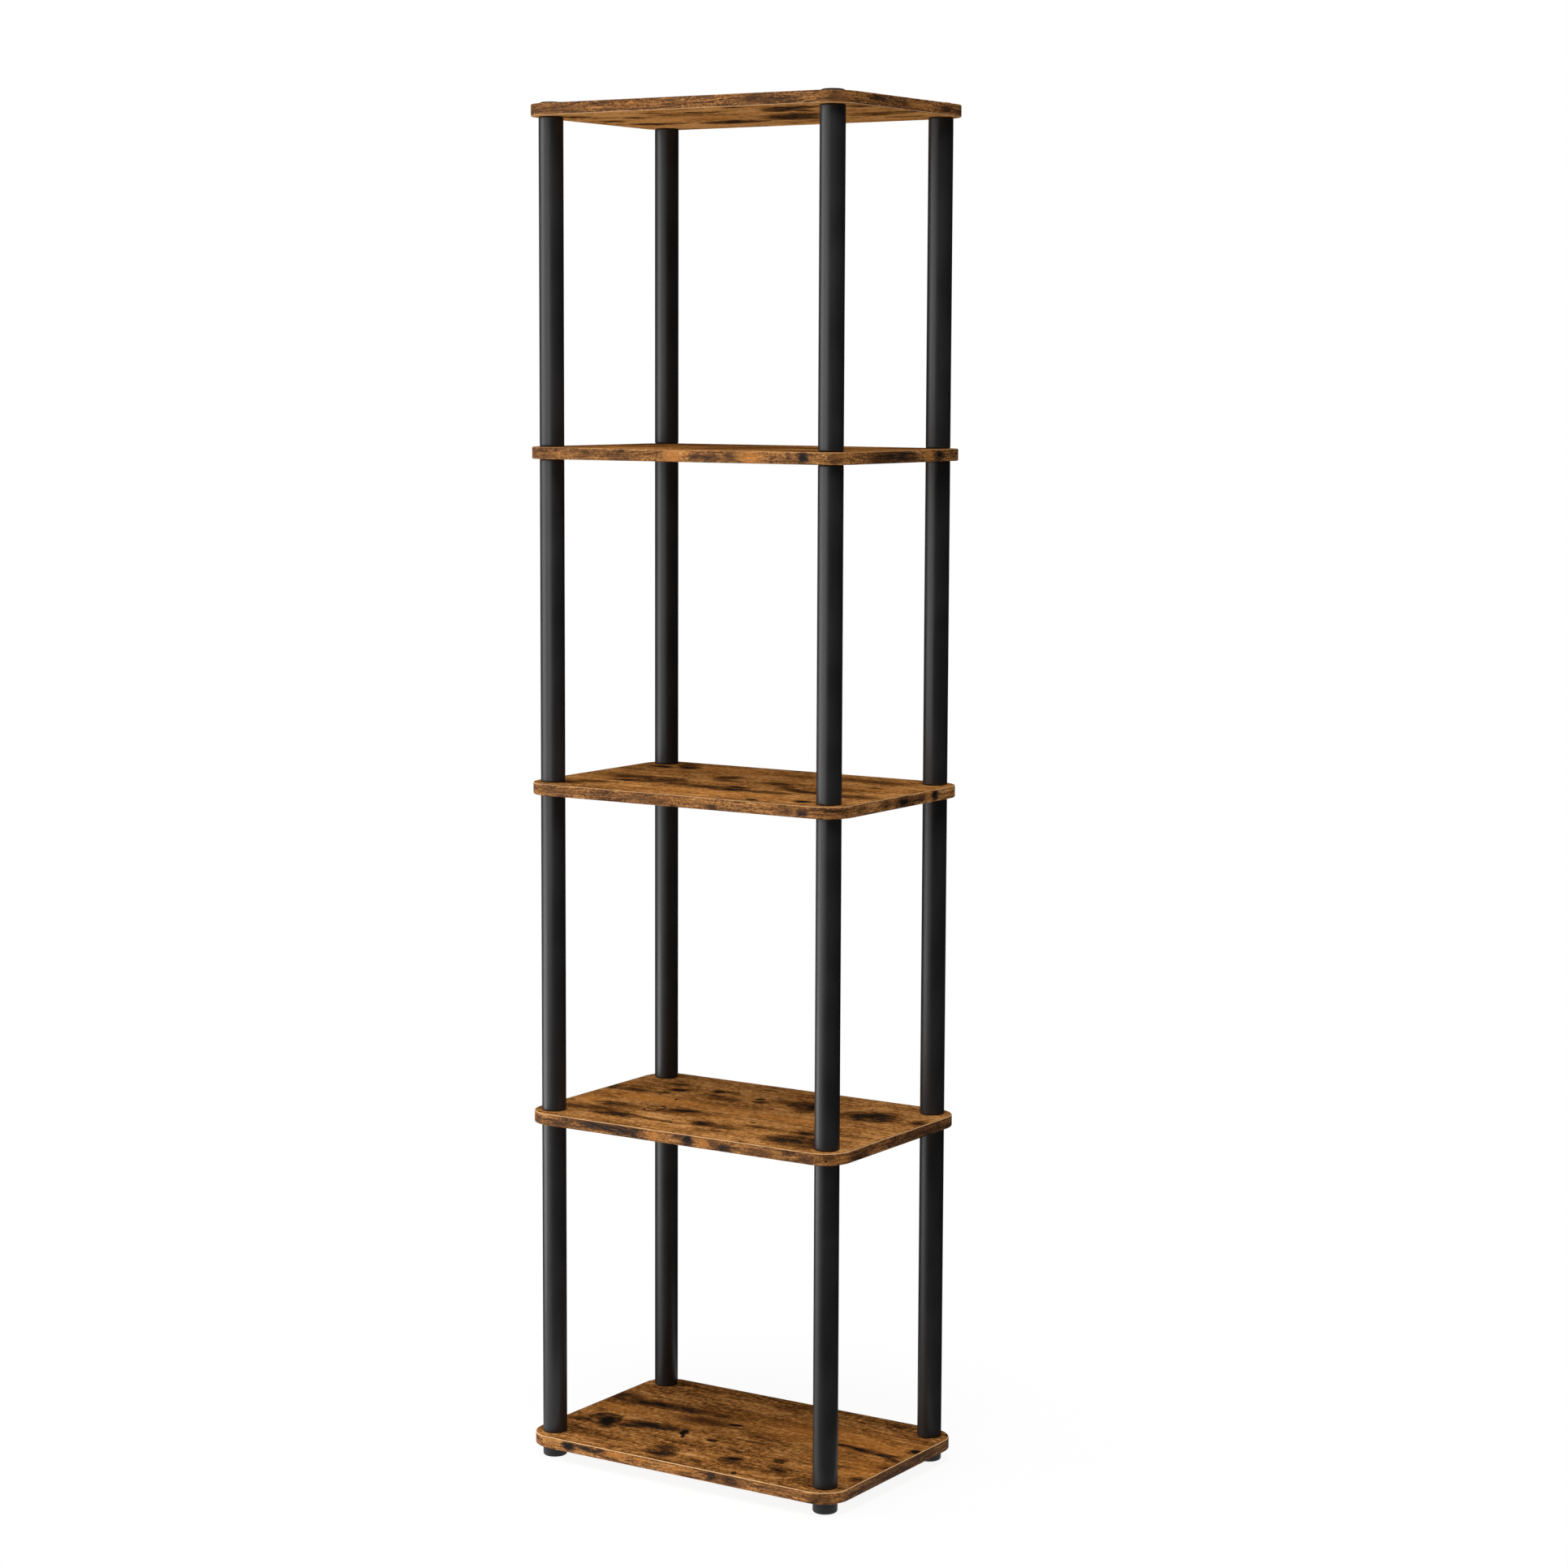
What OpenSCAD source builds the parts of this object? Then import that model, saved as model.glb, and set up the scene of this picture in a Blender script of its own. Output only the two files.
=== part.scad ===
// Open rack of rounded shelves on four columns of twist-together tubes.
// Each shelf is clamped where a tube's stud goes down through it into the socket of the tube or foot below.
// Axes: +X along the shelves' long side, -Y is the front, +Z up, origin on the floor under the rack's middle.

/* [Shelves] */
// Number of shelves, counted from the floor up
shelf_count = 5; // [2:1:7]
// Length of a shelf, along X
shelf_w = 400; // [250:1:900]
// Depth of a shelf, along Y
shelf_d = 262; // [160:1:500]
// Thickness of a shelf board
shelf_t = 12.7; // [9:0.1:25]
// Radius of a shelf's rounded corners, at the outer edge
corner_r = 31.5; // [10:0.5:45]
// Clear height between two shelves
bay_h = 347; // [150:1:500]

/* [Edge banding] */
// Thickness of the strip glued round a shelf's edge
band_t = 1.5; // [0.5:0.1:3]
// Radius that the strip's upper and lower arris is trimmed to
arris_r = 1.2; // [0.2:0.1:2]

/* [Tubes] */
// Outer diameter of a tube
tube_od = 26.3; // [22.6:0.1:34]
// Wall of a tube
tube_wall = 1.6; // [1:0.1:2.4]
// Distance from a tube's axis to the two shelf edges beside it
post_inset = 24.2; // [21:0.1:60]

/* [Tube end plugs] */
// Thickness of the collar that closes a tube's end
collar_t = 2.6; // [1.2:0.1:5]
// Radius of the collar's rim where it meets a shelf
collar_round = 1.8; // [0.3:0.1:2.4]
// Length of the plug inside the tube, from the collar
plug_l = 26; // [18:0.5:60]
// Wall of the boss round a socket
boss_wall = 1.8; // [1:0.1:2.4]
// Wall between a socket and the hollow behind it
socket_floor = 2; // [1:0.1:4]
// Number of fins that grip the tube
fin_count = 8; // [4:1:12]
// Thickness of a fin
fin_t = 1.4; // [0.8:0.1:2.5]
// Length of the taper that leads the fins into the tube
fin_lead = 5; // [2:0.5:10]

/* [Screw joints] */
// Outer diameter of a stud
stud_d = 14.6; // [12:0.1:16]
// Depth that a stud screws into the socket below its shelf
engage_l = 10; // [6:0.5:10.5]
// Diameter of the core left open inside a stud
stud_core_d = 7; // [3:0.1:9]
// Length of the chamfer at a stud's tip
stud_tip = 1.5; // [0.5:0.1:2.5]
// Countersink at the mouth of a socket
socket_lead = 0.8; // [0.2:0.1:1.2]

/* [Feet and caps] */
// Height of a foot
foot_h = 14; // [13:0.5:40]
// Radius round the bottom edge of a foot
foot_round = 2.5; // [0.5:0.1:5]
// Height of a cap above the top shelf
cap_h = 2.5; // [1.5:0.1:6]
// Height of a cap's upright rim
cap_rim_h = 0.6; // [0.3:0.1:1.2]
// Diameter of the flat middle of a cap
cap_flat_d = 17; // [10:0.5:20]

/* [Clearances] */
// Gap between a stud and the hole in a shelf, on the radius
hole_gap = 0.7; // [0.3:0.1:1.5]
// Gap between a stud and its socket, on the radius
thread_gap = 0.2; // [0.1:0.05:0.5]
// Gap between a stud's tip and the bottom of its socket
tip_gap = 1; // [0.5:0.1:2]
// Gap between a fin and the tube's bore
fin_gap = 0.05; // [0.02:0.01:0.2]

/* [Hidden] */
$fn = 64;
// Length by which a cut runs out past the face that it opens.
cut_over = 1;
// Most of an edge's thickness that its rounding may take.
rounded_share = 0.9;
bay_count = shelf_count - 1;
pitch = shelf_t + bay_h;
post_x = shelf_w / 2 - post_inset;
post_y = shelf_d / 2 - post_inset;
tube_l = bay_h - 2 * collar_t;
tube_id = tube_od - 2 * tube_wall;
fin_r = tube_id / 2 - fin_gap;
socket_d = stud_d + 2 * thread_gap;
boss_d = socket_d + 2 * boss_wall;
stud_l = shelf_t + engage_l;
socket_l = engage_l + tip_gap;
hole_d = stud_d + 2 * hole_gap;
arris = min(arris_r, band_t * rounded_share);
rim_round = min(collar_round, collar_t * rounded_share);
stud_wall = (stud_d - stud_core_d) / 2;

corners = [
    ["front_left", -1, -1],
    ["front_right", 1, -1],
    ["back_right", 1, 1],
    ["back_left", -1, 1],
];

function tube_name(i, c) = str("tube_", i, "_", c[0]);

// Underside of shelf i, and the floor of the bay above it.
function shelf_z(i) = foot_h + (i - 1) * pitch;
function bay_z(i) = shelf_z(i) + shelf_t;

module at_post(c) {
    translate([c[1] * post_x, c[2] * post_y, 0]) children();
}

module at_every_post() {
    for (c = corners) at_post(c) children();
}

// Copies a shape made for the corner at +X +Y to all four corners, turned to match.
module at_corner_centres(x, y) {
    for (k = [0 : 3])
        translate([k == 0 || k == 3 ? x : -x, k < 2 ? y : -y, 0]) rotate(90 * k) children();
}

// Half section of a disc of radius r and height h, with the upper edge rounded.
module rounded_half_section(r, h, round_r) {
    square([r - round_r, h]);
    square([r, h - round_r]);
    intersection() {
        square([r, h]);
        translate([r - round_r, h - round_r]) circle(round_r);
    }
}

// Half section of a disc of radius r, whose top falls in an arc from its flat middle to its rim.
module domed_half_section(r, h, flat_r, rim_h) {
    run = r - flat_r;
    fall = h - rim_h;
    arc_r = (pow(run, 2) + pow(fall, 2)) / (2 * fall);
    square([flat_r, h]);
    intersection() {
        square([r, h]);
        translate([flat_r, h - arc_r]) circle(arc_r);
    }
}

// Shelf board: foil-faced particleboard, bored for the four studs, without its edge strip.
module shelf_core() {
    core_r = corner_r - band_t;
    flat_x = shelf_w / 2 - corner_r;
    flat_y = shelf_d / 2 - corner_r;
    color("#8f5f2c")
    difference() {
        union() {
            translate([-flat_x, -flat_y - core_r, 0])
                cube([2 * flat_x, 2 * (flat_y + core_r), shelf_t]);
            translate([-flat_x - core_r, -flat_y, 0])
                cube([2 * (flat_x + core_r), 2 * flat_y, shelf_t]);
            at_corner_centres(flat_x, flat_y)
                rotate_extrude(angle = 90) square([core_r, shelf_t]);
        }
        at_every_post()
            translate([0, 0, -cut_over]) cylinder(h = shelf_t + 2 * cut_over, d = hole_d);
    }
}

// Section of the edge strip: x = 0 on the board, both outer arrises rounded.
module band_section() {
    intersection() {
        square([band_t, shelf_t]);
        union() {
            square([band_t - arris, shelf_t]);
            translate([0, arris]) square([band_t, shelf_t - 2 * arris]);
            for (y = [arris, shelf_t - arris])
                translate([band_t - arris, y]) circle(arris);
        }
    }
}

// One straight run of the edge strip, on the side that faces +X.
module band_run(reach, half_l) {
    translate([reach - band_t, half_l, 0]) rotate([90, 0, 0])
        linear_extrude(2 * half_l) band_section();
}

module edge_band() {
    flat_x = shelf_w / 2 - corner_r;
    flat_y = shelf_d / 2 - corner_r;
    color("#7a4c25") {
        for (turn = [0, 180]) {
            rotate(turn) band_run(shelf_w / 2, flat_y);
            rotate(turn + 90) band_run(shelf_d / 2, flat_x);
        }
        at_corner_centres(flat_x, flat_y)
            rotate_extrude(angle = 90) translate([corner_r - band_t, 0]) band_section();
    }
}

// Plain tube, standing on the collar of its lower plug.
module tube() {
    color("#232325")
    translate([0, 0, collar_t]) difference() {
        cylinder(h = tube_l, d = tube_od);
        translate([0, 0, -cut_over]) cylinder(h = tube_l + 2 * cut_over, d = tube_id);
    }
}

// Collar, boss and gripping fins that both end plugs share. z = 0 is the face that meets the shelf.
module plug_body() {
    rotate_extrude()
        translate([0, collar_t]) mirror([0, 1])
            rounded_half_section(tube_od / 2, collar_t, rim_round);
    translate([0, 0, collar_t]) {
        cylinder(h = plug_l, d = boss_d);
        intersection() {
            for (k = [0 : fin_count - 1])
                rotate(k * 360 / fin_count)
                    translate([0, -fin_t / 2, 0]) cube([tube_od, fin_t, plug_l]);
            union() {
                cylinder(h = plug_l - fin_lead, r = fin_r);
                translate([0, 0, plug_l - fin_lead])
                    cylinder(h = fin_lead, r1 = fin_r, r2 = boss_d / 2);
            }
        }
    }
}

// Stud that hangs from z = 0 down through a shelf and into the socket below.
module stud() {
    translate([0, 0, -stud_l]) {
        cylinder(h = stud_tip, d1 = stud_d - 2 * stud_tip, d2 = stud_d);
        translate([0, 0, stud_tip]) cylinder(h = stud_l - stud_tip, d = stud_d);
    }
}

// Lower end plug of a tube, on top of a shelf: its stud points down and its core opens upwards.
module stud_plug() {
    color("#1d1d1f")
    difference() {
        union() {
            plug_body();
            stud();
        }
        translate([0, 0, stud_wall - stud_l])
            cylinder(h = stud_l + collar_t + plug_l, d = stud_core_d);
    }
}

// Hole for a stud, open at z = 0 and going down.
module socket_bore() {
    translate([0, 0, -socket_l]) cylinder(h = socket_l + cut_over, d = socket_d);
    lead_l = socket_lead + cut_over;
    translate([0, 0, -socket_lead])
        cylinder(h = lead_l, d1 = socket_d, d2 = socket_d + 2 * lead_l);
}

// Upper end plug of a tube, under a shelf: the face with its socket is at z = 0.
module socket_plug() {
    back_l = collar_t + plug_l - socket_l - socket_floor;
    back_end = -collar_t - plug_l - cut_over;
    color("#1d1d1f")
    difference() {
        mirror([0, 0, 1]) plug_body();
        socket_bore();
        translate([0, 0, back_end]) cylinder(h = back_l + cut_over, d = socket_d);
    }
}

// Foot under the bottom shelf: z = 0 is the floor.
module foot() {
    color("#1a1a1c")
    difference() {
        rotate_extrude()
            translate([0, foot_h]) mirror([0, 1])
                rounded_half_section(tube_od / 2, foot_h, foot_round);
        translate([0, 0, foot_h]) socket_bore();
    }
}

// Cap on the top shelf: a low domed head on a tube's stud, cored from its tip. z = 0 is the shelf's face.
module cap() {
    color("#1a1a1c")
    difference() {
        union() {
            rotate_extrude() domed_half_section(tube_od / 2, cap_h, cap_flat_d / 2, cap_rim_h);
            stud();
        }
        translate([0, 0, -stud_l - cut_over])
            cylinder(h = stud_l + cut_over, d = stud_core_d);
    }
}

for (i = [1 : shelf_count]) translate([0, 0, shelf_z(i)]) {
    shelf_core();
    edge_band();
}

for (i = [1 : bay_count]) {
    for (c = corners) at_post(c) translate([0, 0, bay_z(i)])
        tube();
    at_every_post() translate([0, 0, bay_z(i)]) stud_plug();
    at_every_post() translate([0, 0, bay_z(i) + bay_h]) socket_plug();
}

for (c = corners) at_post(c) {
    foot();
    translate([0, 0, bay_z(shelf_count)]) cap();
}
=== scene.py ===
"""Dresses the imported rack: rustic wood print on boards and edge strips, satin black plastic elsewhere."""

import math

import bmesh
import bpy
from mathutils import Matrix, Vector


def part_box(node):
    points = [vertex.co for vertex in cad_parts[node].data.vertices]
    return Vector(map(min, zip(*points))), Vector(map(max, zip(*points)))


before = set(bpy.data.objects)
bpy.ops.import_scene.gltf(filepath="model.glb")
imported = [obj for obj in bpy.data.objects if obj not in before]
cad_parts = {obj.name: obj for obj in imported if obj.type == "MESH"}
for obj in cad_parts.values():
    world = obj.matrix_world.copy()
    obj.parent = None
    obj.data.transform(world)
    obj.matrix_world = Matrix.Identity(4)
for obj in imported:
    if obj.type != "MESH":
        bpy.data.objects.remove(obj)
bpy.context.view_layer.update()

SHELF_COUNT = 5
# Millimetres in a metre: the tables are in mm, and Blender's objects in metres.
MM = 1000.0

# The rack's outline, in mm, as in the CAD source.
HALF_W = 200.0
HALF_D = 131.0
CORNER_R = 31.5
FLAT_X = HALF_W - CORNER_R
FLAT_Y = HALF_D - CORNER_R
CORNER_ARC = CORNER_R * math.pi / 2
QUARTER_RUN = FLAT_X + CORNER_ARC + FLAT_Y

WHITE = (1, 1, 1, 1)
# A noise texture's middle value, on each axis.
NOISE_MIDDLE = (0.5, 0.5, 0.5)
# Where a ring's line is gone and where it is full: distances from it, as shares of the ring's size.
RING_FADE = (0.26, 0.05)


def linear(r, g, b):
    """A colour written as 0 to 255, as the renderer needs it."""
    def channel(value):
        share = value / 255
        if share <= 0.04045:
            return share / 12.92
        return ((share + 0.055) / 1.055) ** 2.4

    return (channel(r), channel(g), channel(b), 1.0)


class Graph:
    """Adds nodes to a node tree. An input may be a number, a vector, a colour or another node's output."""

    def __init__(self, tree):
        self.tree = tree

    def feed(self, socket, value):
        if isinstance(value, bpy.types.NodeSocket):
            self.tree.links.new(value, socket)
        elif value is not None:
            socket.default_value = value

    def add(self, kind, inputs=(), **settings):
        node = self.tree.nodes.new("ShaderNode" + kind)
        for name, value in settings.items():
            setattr(node, name, value)
        named = inputs.items() if isinstance(inputs, dict) else enumerate(inputs)
        for key, value in named:
            self.feed(node.inputs[key], value)
        return node

    def math(self, operation, a, b=None, c=None):
        return self.add("Math", (a, b, c), operation=operation).outputs[0]

    def plus(self, a, b):
        return self.math("ADD", a, b)

    def minus(self, a, b):
        return self.math("SUBTRACT", a, b)

    def times(self, a, b):
        return self.math("MULTIPLY", a, b)

    def most(self, a, b):
        return self.math("MAXIMUM", a, b)

    def least(self, a, b):
        return self.math("MINIMUM", a, b)

    def total(self, *parts):
        """Sum of (value, weight) pairs and plain numbers."""
        sum_so_far = 0.0
        for part in parts:
            if isinstance(part, tuple):
                sum_so_far = self.math("MULTIPLY_ADD", part[0], part[1], sum_so_far)
            else:
                sum_so_far = self.plus(sum_so_far, part)
        return sum_so_far

    def blend(self, fields, shares, base=None):
        """Sum of named fields, each times its share, and of a base."""
        parts = [(fields[name], share) for name, share in shares.items()]
        if base is not None:
            parts.append(base)
        return self.total(*parts)

    def fade(self, value, start, end, low=0.0, high=1.0):
        """Goes smoothly from low, where value is start, to high, where it is end."""
        inputs = (value, start, end, low, high)
        return self.add("MapRange", inputs, interpolation_type="SMOOTHSTEP").outputs[0]

    def mix(self, factor, a, b):
        node = self.add("Mix", {0: factor, 6: a, 7: b}, data_type="RGBA")
        return node.outputs[2]

    def point(self, x, y, z):
        return self.add("CombineXYZ", (x, y, z)).outputs[0]

    def split(self, vector):
        return self.add("SeparateXYZ", (vector,)).outputs

    def spread(self, vector, size):
        """Divides a vector by a size, so that a texture of unit scale has features of that size."""
        return self.add("VectorMath", (vector, size), operation="DIVIDE").outputs[0]

    def noise(self, vector, size, detail=2.0, roughness=0.5, dimensions="2D"):
        inputs = {
            "Vector": self.spread(vector, size),
            "Scale": 1.0,
            "Detail": detail,
            "Roughness": roughness,
        }
        return self.add("TexNoise", inputs, noise_dimensions=dimensions)

    def warp(self, vector, size, reach, detail=2.0):
        """Shifts a vector by up to about reach, with noise of a given size."""
        noise = self.noise(vector, size, detail).outputs[1]
        shift = self.add("VectorMath", (noise, NOISE_MIDDLE), operation="SUBTRACT")
        scaled = self.add("VectorMath", (shift.outputs[0], reach), operation="MULTIPLY")
        return self.add("VectorMath", (vector, scaled.outputs[0]), operation="ADD").outputs[0]

    def ramp(self, factor, stops):
        node = self.add("ValToRGB", (factor,))
        elements = node.color_ramp.elements
        while len(elements) < len(stops):
            elements.new(0.5)
        for element, (position, colour) in zip(elements, stops):
            element.position = position
            element.color = linear(*colour)
        return node.outputs[0]

    def reach(self, flat_point, x, y, half_l, half_w, angle):
        """Distance from an ellipse's middle, as a share of its size."""
        inputs = (flat_point, (x, y, 0), (0, 0, math.radians(angle)), (half_l, half_w, 1))
        unit = self.add("Mapping", inputs, vector_type="TEXTURE")
        return self.add("VectorMath", (unit.outputs[0],), operation="LENGTH").outputs["Value"]

    def patches(self, flat_point, spots, fade_at):
        """Strongest, at a point, of some soft spots (x, y, half length, half width, angle, strength).
        fade_at says where a spot is gone and where it is full, as shares of its size."""
        strongest = None
        for x, y, half_l, half_w, angle, strength in spots:
            away = self.reach(flat_point, x, y, half_l, half_w, angle)
            spot = self.fade(away, *fade_at, 0.0, strength)
            strongest = spot if strongest is None else self.most(strongest, spot)
        return strongest

    def rings(self, flat_point, rings):
        """Thin closed lines (x, y, half length, half width, angle, strength), as round a knot."""
        strongest = None
        for x, y, half_l, half_w, angle, strength in rings:
            away = self.reach(flat_point, x, y, half_l, half_w, angle)
            off = self.math("ABSOLUTE", self.minus(away, 1.0))
            line = self.fade(off, *RING_FADE, 0.0, strength)
            strongest = line if strongest is None else self.most(strongest, line)
        return strongest


def bare_material(name):
    """An empty material, and the graph that adds its nodes."""
    material = bpy.data.materials.new(name)
    material.use_nodes = True
    material.node_tree.nodes.clear()
    return material, Graph(material.node_tree)


def new_material(name):
    material, graph = bare_material(name)
    shader = graph.add("BsdfPrincipled")
    graph.add("OutputMaterial", {"Surface": shader.outputs[0]})
    return material, graph, shader


def bump(graph, height, strength, distance):
    return graph.add("Bump", {"Height": height, "Strength": strength, "Distance": distance}).outputs[0]


# Colours of the print, from its darkest growth lines to its lightest fibres.
WOOD_TONES = [
    (0.14, (50, 29, 13)),
    (0.28, (78, 48, 21)),
    (0.40, (107, 68, 32)),
    (0.51, (133, 87, 43)),
    (0.64, (159, 108, 56)),
    (0.86, (194, 142, 86)),
]
SCORCH_BROWN = (70, 42, 19)
CHARCOAL = (34, 28, 23)
MARK_BLACK = (22, 17, 14)
GLOW_TONE = (196, 124, 52)

# Distance on the print between one board's cut and the next's, and where the strips' cuts start, in mm.
SEED_STEP = 1370.0
EDGE_SEED = 20000.0

# Bends of the print: size of the noise, how far it shifts a point, both in mm, and its detail.
PLANK_BEND = ((90, 46, 1), (26, 13, 0), 1)
GRAIN_BEND = ((17, 8, 1), (8, 3.4, 0), 1)
# Noise fields of the print: size in mm along and across the grain, detail, roughness.
FIGURE = ((110, 5.0, 1), 4, 0.62)
FIBRE = ((16, 1.0, 1), 1, 0.6)
CLOUD = ((90, 36, 1), 2, 0.55)
BLOTCH = ((21, 9, 1), 4, 0.68)
SPECKLE = ((6.0, 5.0, 1), 3, 0.72)
GROWTH = ((190, 30, 1), 1, 0.45)
DRIFT = ((62, 24, 1), 3, 0.6)

# Growth lines: radians that their wave turns over the growth field and over a mm across the grain, their
# strength where a face asks for them and everywhere, and the levels of blotch between which they break off.
GROWTH_TURN = 42.0
ACROSS_TURN = 0.78
LINES_ASKED = 0.8
LINES_ANYWHERE = 0.12
LINE_BREAKS = (0.34, 0.56)
# Veins run where the blotches cross a level. Crackle is what shows of them in scorched and in drifting areas.
VEIN_LEVEL = 0.54
VEIN_FADE = (0.032, 0.006)
SCORCHED_LEVELS = (0.10, 0.50)
CRACKLE_LEVELS = (0.42, 0.60)
STRAY_LEVELS = (0.58, 0.80)
# Smoke turns the print brown and then to charcoal. Blotches thin out the black marks.
BROWN_LEVELS = (0.02, 0.30)
BROWN_SHARE = 0.94
CHARCOAL_LEVELS = (0.30, 0.56)
MARK_LEVELS = (0.25, 0.45)
MARK_LEAST = 0.75

# What each field adds to the print's tone, to how smoke is torn, to the roughness and to the relief.
TONE_SHARES = {
    "figure": 0.64,
    "fibre": 0.46,
    "cloud": 0.52,
    "blotch": 0.62,
    "speckle": 0.95,
    "lines": -0.42,
    "crackle": -0.40,
    "tone": 1.0,
}
TONE_BASE = -1.04
TORN_SHARES = {"figure": 0.8, "blotch": 1.9, "fibre": 1.2, "speckle": 1.4, "vein": 0.35}
TORN_BASE = -2.15
ROUGHNESS_SHARES = {"fibre": 0.2, "mark": 0.08}
ROUGHNESS_BASE = 0.58
RELIEF_SHARES = {"fibre": 0.8, "speckle": 0.3, "ring_line": -0.1}


def make_wood_print():
    """Shared print: distressed planks with growth lines, short fibres, scorched areas and black marks."""
    tree = bpy.data.node_groups.new("rustic_wood_print", "ShaderNodeTree")
    face = tree.interface
    face.new_socket("Point", in_out="INPUT", socket_type="NodeSocketVector")
    for name in ("Smoke", "Stray", "Mark", "Lines", "Glow", "Tone"):
        face.new_socket(name, in_out="INPUT", socket_type="NodeSocketFloat")
    face.new_socket("Colour", in_out="OUTPUT", socket_type="NodeSocketColor")
    face.new_socket("Roughness", in_out="OUTPUT", socket_type="NodeSocketFloat")
    face.new_socket("Height", in_out="OUTPUT", socket_type="NodeSocketFloat")
    graph = Graph(tree)
    given = tree.nodes.new("NodeGroupInput").outputs
    result = tree.nodes.new("NodeGroupOutput").inputs

    plank = graph.warp(given["Point"], *PLANK_BEND)
    grain = graph.warp(plank, *GRAIN_BEND)
    blotch = graph.noise(grain, *BLOTCH).outputs[0]
    fields = {
        "figure": graph.noise(grain, *FIGURE).outputs[0],
        "fibre": graph.noise(grain, *FIBRE).outputs[0],
        "cloud": graph.noise(given["Point"], *CLOUD).outputs[0],
        "blotch": blotch,
        "speckle": graph.noise(given["Point"], *SPECKLE).outputs[0],
        "mark": given["Mark"],
        "tone": given["Tone"],
    }

    growth = graph.noise(plank, *GROWTH).outputs[0]
    across = graph.split(plank)[1]
    ring_wave = graph.math("SINE", graph.total((growth, GROWTH_TURN), (across, ACROSS_TURN)))
    ring_line = graph.fade(ring_wave, 0.0, 1.0)
    line_share = graph.total((given["Lines"], LINES_ASKED), LINES_ANYWHERE)
    fields["ring_line"] = ring_line
    fields["lines"] = graph.times(graph.times(ring_line, line_share), graph.fade(blotch, *LINE_BREAKS))

    drift = graph.noise(plank, *DRIFT).outputs[0]
    vein = graph.fade(graph.math("ABSOLUTE", graph.minus(blotch, VEIN_LEVEL)), *VEIN_FADE)
    scorched = graph.fade(given["Smoke"], *SCORCHED_LEVELS)
    fields["vein"] = vein
    fields["crackle"] = graph.times(vein, graph.most(scorched, graph.fade(drift, *CRACKLE_LEVELS)))

    tone = graph.blend(fields, TONE_SHARES, TONE_BASE)
    colour = graph.ramp(tone, WOOD_TONES)
    colour = graph.mix(given["Glow"], colour, linear(*GLOW_TONE))

    stray = graph.times(graph.fade(drift, *STRAY_LEVELS), given["Stray"])
    smoke = graph.most(given["Smoke"], stray)
    smoke = graph.times(smoke, graph.blend(fields, TORN_SHARES, TORN_BASE))
    mark = graph.times(given["Mark"], graph.fade(blotch, *MARK_LEVELS, MARK_LEAST, 1.0))
    colour = graph.mix(graph.fade(smoke, *BROWN_LEVELS, 0.0, BROWN_SHARE), colour, linear(*SCORCH_BROWN))
    colour = graph.mix(graph.fade(smoke, *CHARCOAL_LEVELS), colour, linear(*CHARCOAL))
    colour = graph.mix(mark, colour, linear(*MARK_BLACK))
    graph.feed(result["Colour"], colour)
    graph.feed(result["Roughness"], graph.blend(fields, ROUGHNESS_SHARES, ROUGHNESS_BASE))
    graph.feed(result["Height"], graph.blend(fields, RELIEF_SHARES))
    return tree


# How much lighter than the print's middle each board's pictured face was cut, and its other face.
BOARD_TONE = {1: -0.02, 2: 0.09, 3: 0.05, 4: -0.06, 5: 0.16}
FAR_FACE_TONE = {1: 0.06, 2: 0.08, 3: 0.06, 4: 0.04, 5: -0.04}
# The same for each strip's front, and how much lighter than that its right side is.
EDGE_TONE = {1: 0.01, 2: -0.02, 3: -0.02, 4: 0.0, 5: -0.09}
EDGE_RIGHT_TONE = {1: -0.18, 2: -0.14, 3: 0.14, 4: -0.03, 5: 0.02}
# Strength of each strip's painted highlight on the arris beside its pictured face.
ARRIS_HIGHLIGHT_STRENGTH = {1: 1.0, 2: 0.85, 3: 0.5, 4: 0.25, 5: 0.8}
# Strength of the scorched areas on the strips, and on the faces that the photograph doesn't show.
EDGE_SMOKE_SHARE = 0.78
FAR_FACE_SMOKE_SHARE = 0.7

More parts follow.
